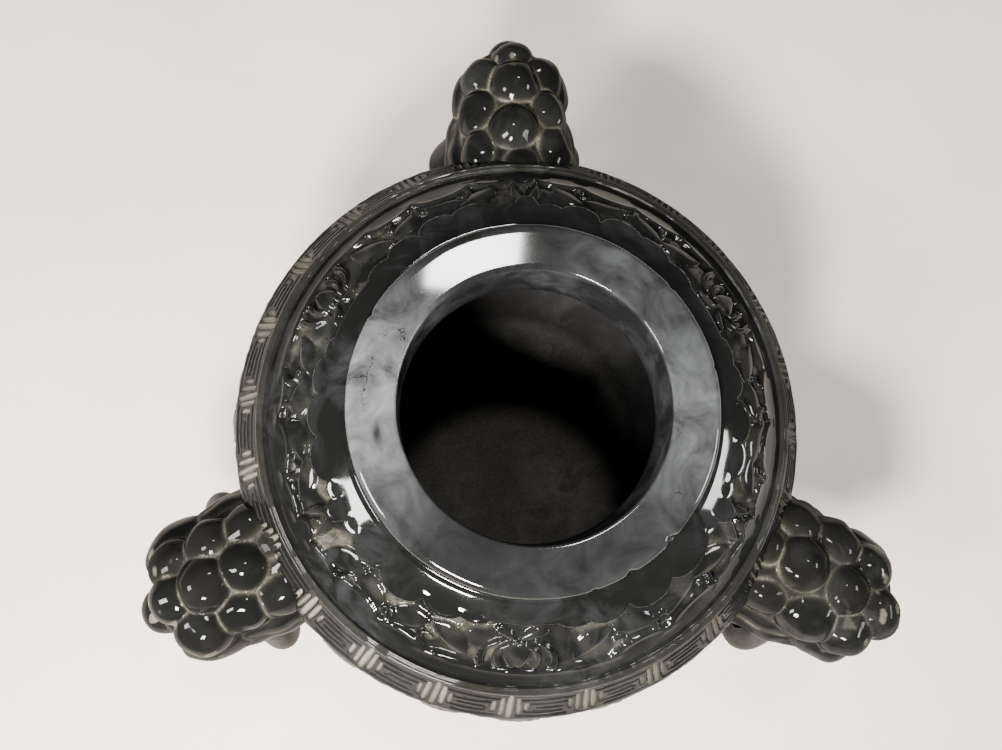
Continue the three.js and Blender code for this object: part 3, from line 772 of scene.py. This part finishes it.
def cloud_height(angles, down, length):
    """Low carved clouds: overlapping round bosses, each with a spiral line cut into it."""
    across = angles[None, :] * CLOUD_CIRCLE
    below = (down / MM)[:, None]
    height = np.zeros((len(down), len(angles)))
    source = np.random.default_rng(33)
    turn = 2 * math.pi * CLOUD_CIRCLE
    for row in range(CLOUD_ROWS):
        for k in range(CLOUDS_ROUND):
            size = source.uniform(7.0, 10.5) * (1 - 0.06 * row)
            x = (k + 0.5 * (row % 2) + source.normal(0, 0.07)) * turn / CLOUDS_ROUND
            y = FIRST_CLOUD + row * CLOUD_SPACING + source.normal(0, 0.6)
            away = (across - x + turn / 2) % turn - turn / 2
            narrow = 1 + 0.012 * max(y - 12, 0)
            off = np.hypot(away / narrow, below - y)
            boss = np.sqrt(np.clip(1 - (off / size) ** 2, 0, 1)) * source.uniform(0.75, 1.0)
            swirl = off / SPIRAL_PITCH + np.arctan2(below - y, away) / (2 * math.pi) * (1 if k % 2 else -1)
            line = SPIRAL_DEPTH * (0.5 + 0.5 * np.cos(2 * math.pi * swirl)) ** 3
            height = np.maximum(height, np.where(off < size, boss - line * (off > 1.2), 0))
    fade = soft_step(0, 2.5, below) * soft_step(0, 7, length / MM - below)
    return (height - 1) * fade


fret_line = np.linspace(FRET_FOOT, FRET_TOP, FRET_ROWS)
fret_down = np.linalg.norm(fret_line - np.array(FRET_TOP), axis=1)
fret_cut, fret_pale = fret_height(fine_angles, fret_down)
fret_rows = ring_of(fret_line, -outward(fret_line), fine_angles, -FRET_DEPTH * fret_cut)
fret_rows[..., 2] += smooth_noise(8, 7 * MM)(fret_rows) * 0.10 * MM

belly_line = np.concatenate([
    quarter_arc(BELLY, BASE, BELLY_ROWS - BELLY_TOP_ROWS)[::-1],
    bezier(BELLY, BELLY_TOP_PULL, FRET_FOOT, np.linspace(0, 1, BELLY_TOP_ROWS + 1)[1:-1]),
])
belly_steps = np.linalg.norm(np.diff(belly_line, axis=0), axis=1)
belly_length = belly_steps.sum()
belly_down = belly_length - np.concatenate([[0], np.cumsum(belly_steps)])
belly_angles = column_angles(BELLY_COLUMNS)
clouds = cloud_height(belly_angles, belly_down, belly_length)
belly_rows = ring_of(belly_line, -outward(belly_line), belly_angles, CLOUD_DEPTH * clouds)
rough_skin = smooth_noise(14, 3.2 * MM, 40)(belly_rows) * 0.12 * MM
belly_rows[..., :2] += (belly_rows[..., :2] - AXIS) * (rough_skin / BELLY[0])[..., None]

underside_line = np.array([(12 * MM, BASE[1]), (26 * MM, BASE[1]), (BASE[0] - 1 * MM, BASE[1])])
underside_rows = ring_of(underside_line, underside_line * 0, plain_angles)
lower_fillet_line = np.array([
    (70.25 * MM, 87.35 * MM), (70.0 * MM, 88.05 * MM), (69.55 * MM, 88.35 * MM), (69.2 * MM, 88.05 * MM),
    (68.95 * MM, 88.4 * MM), FILLET_CREST,
])
lower_fillet_rows = ring_of(lower_fillet_line, lower_fillet_line * 0, fine_angles)
lower_fillet_rows[..., 2] += fillet_beads(lower_fillet_rows) * BEADING
hollow_line = np.concatenate([
    [WALL_SEAM, WALL_JOINT],
    quarter_arc((BOWL_RADIUS, BOWL_Z), (MOUTH_RADIUS + ARRIS, CEILING_Z), 8)[:4][::-1],
    quarter_arc((BOWL_RADIUS, BOWL_Z), HOLLOW_FLOOR, 14)[1:],
    [[20 * MM, HOLLOW_FLOOR[1]], [6 * MM, HOLLOW_FLOOR[1]]],
])
hollow_rows = ring_of(hollow_line, hollow_line * 0, plain_angles)
lower_rows = [*underside_rows, *belly_rows, *fret_rows, *lower_fillet_rows, *hollow_rows]
vessel_lower = shell("vessel_lower", lower_rows, closed=False)

# Dust whitens the fret most at the left and a little at the right. On the belly it lies between the clouds.
# The floor of the hollow is painted paler than its walls.
FLOOR_ROWS = 4
chalky = 0.30 + 0.70 * np.cos((fine_angles - math.radians(195)) / 2) ** 4
chalky = chalky + 0.25 * np.exp(-((fine_angles - math.radians(350)) / 0.35) ** 2)
fret_dust = np.clip(1.4 * fret_pale * chalky, 0, 1)
between_clouds = np.clip(-clouds, 0, 1)
belly_patches = soft_step(-0.1, 0.9, smooth_noise(15, 2.4 * MM, 40)(belly_rows))
belly_dust = 0.03 + 0.26 * (0.4 + 0.6 * belly_patches) * between_clouds ** 1.5
paint(vessel_lower, "recess", np.concatenate([
    *levels(underside_rows, 0.9), *(0.50 + 0.45 * between_clouds), *np.maximum(0.80, fret_cut),
    *levels(lower_fillet_rows, 0.6), *levels(hollow_rows, 0.9),
]))
paint(vessel_lower, "dust", np.concatenate([
    *levels(underside_rows, 0.1), *belly_dust, *fret_dust, *levels(lower_fillet_rows, 0.05),
    *levels(hollow_rows[:-FLOOR_ROWS], 0.03), *levels(hollow_rows[-FLOOR_ROWS:], 0.20),
]))
vessel_lower.data.materials.append(vessel_jade)
vessel_lower.data.materials.append(hollow_jade)
lower_joint_row = len(lower_rows) - len(hollow_rows)
finish_hollow(vessel_lower, lower_rows, lower_joint_row, len(lower_rows))
part_at_seam(vessel_lower, lower_rows, lower_joint_row - 1)
# The last face closes the bottom of the hollow.
vessel_lower.data.polygons[len(vessel_lower.data.polygons) - 1].material_index = 1
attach(vessel_lower, "root")
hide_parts("censer_body")


# The three mask handles, carved from the same block: each is a round head covered in glossy curls, with
# long locks at its sides and a rounded curl at its tip. A ring channel is cut right through it.
HANDLE_NAMES = ("back", "left", "right")
DUSTY = {"back": 0.95, "left": 0.50, "right": 0.60}
SCUFFED = {"back": 0.12, "left": 0.22, "right": 0.50}
HEAD_START = 69 * MM
HEAD_Z = 64 * MM
HEAD_RADIUS = 14 * MM
CHEEK = 0.3
TAPER = 0.86
CURL_RADIUS = 6.2 * MM
RING_PLACE = 0.45
RING_RADIUS = 22.5 * MM
CHANNEL_TUBE = 5 * MM
CHANNEL_Z = 40 * MM
HEAD_AROUND = 240
HEAD_ALONG = 176
TIP_ROWS = 24
FILL = 3.0 * MM
SUNK = 0.9 * MM
SPREAD = 1.15
JOINT_BLEND = 0.35 * MM
CREASE_WIDTH = 0.60 * MM
# Each curl: turn from the top in degrees, place along the head, stretch, size, and how far out it leans.
# Those off the middle line stand on both sides.
CURLS = (
    (0, 0.13, 1.0, 0.76, 1.0), (0, 0.36, 1.1, 1.0, 1.0), (0, 0.62, 1.0, 1.14, 1.0), (0, 0.84, 1.0, 0.94, 1.0),
    (43, 0.22, 1.2, 1.04, 1.0), (44, 0.48, 1.15, 1.06, 1.03), (46, 0.73, 1.05, 1.06, 1.08),
    (80, 0.28, 2.8, 0.72, 1.10), (100, 0.32, 2.9, 0.78, 1.18), (90, 0.70, 1.5, 1.06, 1.05),
    (140, 0.30, 2.0, 0.60, 1.0), (140, 0.66, 1.5, 0.66, 1.0),
)


def core_radius(share):
    """The radius of the head under its curls, from the vessel's wall at 0 to the tip at 1."""
    past = np.clip((share - CHEEK) / (1 - CHEEK), 0, 1)
    return HEAD_RADIUS * np.sqrt(np.clip(1 - (TAPER * past) ** 2, 0, 1))


class Head:
    """One head's curls, placed along its own X from the vessel's axis."""

    def __init__(self, number, name):
        low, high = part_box("ring_" + name)
        middle = (np.array(low[:2]) + np.array(high[:2])) / 2 - AXIS
        self.angle = math.atan2(middle[1], middle[0])
        self.place = float(np.hypot(*middle))
        self.reach = HEAD_START + (self.place - HEAD_START) / RING_PLACE
        self.tip = self.reach - CURL_RADIUS
        source = np.random.default_rng(40 + number)
        self.curls = []
        for roll, share, stretch, size, lean in CURLS:
            for side in ((1, -1) if roll else (1,)):
                turn = math.radians(side * roll + source.normal(0, 3.5))
                share_here = share + source.normal(0, 0.018)
                radius = CURL_RADIUS * size * SPREAD * source.uniform(0.90, 1.10)
                out = float(core_radius(share_here)) * lean - SUNK
                along = HEAD_START + share_here * (self.tip - HEAD_START)
                self.curls.append((along, out, turn, radius * stretch, radius))
        self.curls.append((self.tip, 0.0, 0.0, CURL_RADIUS, CURL_RADIUS * 1.08))
        self.scuffs = np.concatenate([[0.5], source.uniform(0, 1, len(self.curls)) ** 1.5 * SCUFFED[name]])

    def surfaces(self, along, roll):
        """The distance from the head's axis to the core and to each curl, where a curl is met."""
        share = (along - HEAD_START) / (self.tip - HEAD_START)
        core = np.where(share <= 1, core_radius(share) + FILL * soft_step(1, 0.9, share), 0)
        layers = [core + 0 * roll]
        for middle, out, turn, half, radius in self.curls:
            left = 1 - ((along - middle) / half) ** 2
            ball = radius * np.sqrt(np.clip(left, 0, 1))
            across = out * np.sin(roll - turn)
            hit = ball ** 2 - across ** 2
            far = out * np.cos(roll - turn) + np.sqrt(np.clip(hit, 0, None))
            layers.append(np.where((hit > 0) & (left > 0) & (far > 0), far, 0) + 0 * roll)
        return np.stack(layers)

    def mesh(self, name):
        """The head's skin: the outermost of all surfaces, softened where they meet, a little uneven."""
        body = HEAD_START + (self.tip - HEAD_START) * np.linspace(0, 1, HEAD_ALONG - TIP_ROWS)
        cap = self.tip + CURL_RADIUS * np.sin(np.linspace(0, math.pi / 2, TIP_ROWS + 2)[1:-1])
        along = np.concatenate([body, cap])[:, None]
        roll = column_angles(HEAD_AROUND)[None, :]
        layers = self.surfaces(along, roll)
        top = layers.max(axis=0)
        radius = top + JOINT_BLEND * np.log(np.exp((layers - top) / JOINT_BLEND).sum(axis=0))
        radius = np.maximum(radius, 0.3 * MM)
        lumps = np.stack([along + 0 * roll, radius * np.sin(roll), radius * np.cos(roll)], axis=-1)
        radius = radius * (1 + 0.022 * smooth_noise(90 + len(name), 7 * MM)(lumps))
        points = np.stack([
            along + 0 * roll,
            radius * np.sin(roll),
            HEAD_Z + radius * np.cos(roll),
        ], axis=-1)
        return shell(name, [row[::-1] for row in points], closed=False)

    def measure(self, points):
        """How deep in a joint each point lies, how far inside the channel, and how scuffed its curl is."""
        along = points[:, 0]
        roll = np.arctan2(points[:, 1], points[:, 2] - HEAD_Z)
        layers = self.surfaces(along, roll)
        scuff = self.scuffs[layers.argmax(axis=0)]
        layers = np.sort(layers, axis=0)
        crease = np.exp(-(layers[-1] - layers[-2]) / CREASE_WIDTH)
        depth = layers[-1] - np.hypot(points[:, 1], points[:, 2] - HEAD_Z)
        return crease, soft_step(0.1 * MM, 1.0 * MM, depth), scuff


def torus_points(radius, tube, around, section, wobble=None):
    """Points of an upright ring round X, pushed a little out of true where a wobble is given."""
    turns = column_angles(around)[:, None]
    sides = column_angles(section)[None, :]
    out = radius + tube * np.cos(sides)
    points = np.stack([tube * np.sin(sides) + 0 * turns, out * np.cos(turns), out * np.sin(turns)], axis=-1)
    return points if wobble is None else points + wobble(points)[..., None] * np.array([0.4, 1, 1])


def torus_mesh(name, points):
    around, section = points.shape[:2]
    faces = []
    for i in range(around):
        for k in range(section):
            here, there = i * section, (i + 1) % around * section
            faces.append((here + k, there + k, there + (k + 1) % section, here + (k + 1) % section))
    mesh = bpy.data.meshes.new(name)
    mesh.from_pydata(points.reshape(-1, 3).tolist(), [], faces)
    mesh.polygons.foreach_set("use_smooth", [True] * len(mesh.polygons))
    return link(name, mesh)


def cut_away(piece, tool):
    """Cuts the tool's shape out of a piece, for good, and takes the tool away."""
    cut = piece.modifiers.new("ring_channel", "BOOLEAN")
    cut.operation = "DIFFERENCE"
    cut.solver = "MANIFOLD"
    cut.object = tool
    bpy.context.view_layer.update()
    shape = bpy.data.meshes.new_from_object(piece.evaluated_get(bpy.context.evaluated_depsgraph_get()))
    piece.modifiers.clear()
    piece.data = shape
    bpy.data.objects.remove(tool)


def corner_points(piece):
    points = np.empty(len(piece.data.vertices) * 3, dtype=np.float32)
    piece.data.vertices.foreach_get("co", points)
    return points.reshape(-1, 3).astype(float)


def upward(piece):
    """How far each corner point's surface faces up, from -1 to 1."""
    normals = np.empty(len(piece.data.vertices) * 3, dtype=np.float32)
    piece.data.vertex_normals.foreach_get("vector", normals)
    return normals.reshape(-1, 3)[:, 2].astype(float)


def turn_to(piece, angle):
    """Moves a piece made along X to its place round the vessel's axis."""
    piece.data.transform(Matrix.Translation((AXIS[0], AXIS[1], 0)) @ Matrix.Rotation(angle, 4, "Z"))


head_jade = jade_material(
    "head_jade", dark=(0.005, 0.0052, 0.005), cloud=(0.045, 0.047, 0.045), dust=(0.185, 0.172, 0.135),
    polish=0.08, matte=0.55, cloudiness=0.4, bump=0.35,
)
heads = {}
for number, name in enumerate(HANDLE_NAMES):
    head = Head(number, name)
    heads[name] = head
    piece = head.mesh("head_" + name)
    channel = torus_mesh("channel", torus_points(RING_RADIUS, CHANNEL_TUBE, 96, 32))
    channel.data.transform(Matrix.Translation((head.place, 0, CHANNEL_Z)))
    cut_away(piece, channel)
    points = corner_points(piece)
    crease, tunnel, scuff = head.measure(points)
    flank = soft_step(0.60, 0.10, upward(piece))
    paint(piece, "recess", np.clip(crease * 0.9 + 0.6 * tunnel + 0.6 * flank + scuff, 0, 1))
    # Dust lies in the joints, more on top and more on the back head, and the curls near the tip are painted
    # with small pale spots.
    patchy = soft_step(-0.2, 0.7, smooth_noise(50 + number, 8 * MM)(points))
    upper_side = soft_step(-12 * MM, 4 * MM, points[:, 2] - HEAD_Z)
    near_tip = soft_step(0.45, 1.0, (points[:, 0] - HEAD_START) / (head.reach - HEAD_START))
    pale_tip_spots = soft_step(0.95, 1.25, smooth_noise(70 + number, 3.0 * MM, 40)(points)) * near_tip
    in_joints = crease ** 1.5 * (0.3 + 0.7 * patchy) * (0.4 + 0.6 * upper_side)
    paint(piece, "dust", np.clip(DUSTY[name] * in_joints + 0.8 * pale_tip_spots + 0.07 * scuff, 0, 1))
    turn_to(piece, head.angle)
    piece.data.materials.clear()
    piece.data.materials.append(head_jade)
    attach(piece, "root")
    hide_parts("censer_body")


# The three loose rings, each cut free from the same block inside its handle. They hang in their channels
# and are only softly polished, a little uneven in the round.
RING_TUBE = 3.5 * MM
RING_WOBBLE = 0.12 * MM
ring_jade = jade_material(
    "ring_jade", dark=(0.012, 0.012, 0.011), cloud=(0.06, 0.06, 0.057), dust=(0.2, 0.19, 0.16),
    polish=0.24, matte=0.6, cloudiness=0.6, bump=0.35,
)
for number, name in enumerate(HANDLE_NAMES):
    low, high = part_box("ring_" + name)
    hang_z = (low[2] + high[2]) / 2
    uneven = smooth_noise(60 + number, 14 * MM)
    points = torus_points(RING_RADIUS, RING_TUBE, 160, 36, lambda spots: uneven(spots) * RING_WOBBLE)
    ring = torus_mesh("ring_" + name + "_jade", points)
    ring.data.transform(Matrix.Translation((heads[name].place, 0, hang_z)))
    turn_to(ring, heads[name].angle)
    paint(ring, "recess", 0.25 + 0.6 * soft_step(0.8, 0.2, upward(ring)))
    paint(ring, "dust", np.full(len(ring.data.vertices), 0.02))
    ring.data.materials.append(ring_jade)
    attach(ring, "root")
    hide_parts("ring_" + name)


# The three short feet, waisted and lobed, carved with the belly and left matt, one under the middle of each
# panel. The photograph hides them, so their shape follows the usual pattern for such vessels.
PANEL_MIDDLES = (31.75, 149.75, 270)
FOOT_CIRCLE = 50 * MM
FOOT_LOBES = 5
LOBE_DEPTH = 0.45 * MM
FOOT_LINE = np.array([
    (8.5, 0), (9.2, 0.7), (9.5, 2.4), (9.1, 4.2), (7.9, 6.0), (7.2, 9.6), (7.6, 13.0), (8.8, 16.4),
    (10.1, 19.2), (11.4, 22.4), (12.4, 25.6), (12.8, 28.5), (12.5, 31.0), (11.6, 32.8),
]) * MM
foot_shares = np.linspace(0, 1, 56)
foot_profile = np.stack([
    np.interp(foot_shares, np.linspace(0, 1, len(FOOT_LINE)), FOOT_LINE[:, k]) for k in (0, 1)
], axis=1)
foot_turns = column_angles(80)[None, :]
lobed = LOBE_DEPTH * np.cos(FOOT_LOBES * foot_turns) * np.sin(math.pi * foot_shares[:, None]) ** 0.8
foot_radius = foot_profile[:, :1] + lobed
for number, middle in enumerate(np.radians(PANEL_MIDDLES)):
    centre = AXIS + FOOT_CIRCLE * np.array([math.cos(middle), math.sin(middle)])
    rows = np.stack([
        centre[0] + foot_radius * np.cos(foot_turns),
        centre[1] + foot_radius * np.sin(foot_turns),
        foot_profile[:, 1:] + 0 * foot_turns,
    ], axis=-1)
    foot = shell("foot_" + str(number + 1), list(rows), closed=False)
    paint(foot, "recess", np.full(len(foot.data.vertices), 0.6))
    paint(foot, "dust", np.full(len(foot.data.vertices), 0.10))
    foot.data.materials.append(vessel_jade)
    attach(foot, "root")
    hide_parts("censer_body")
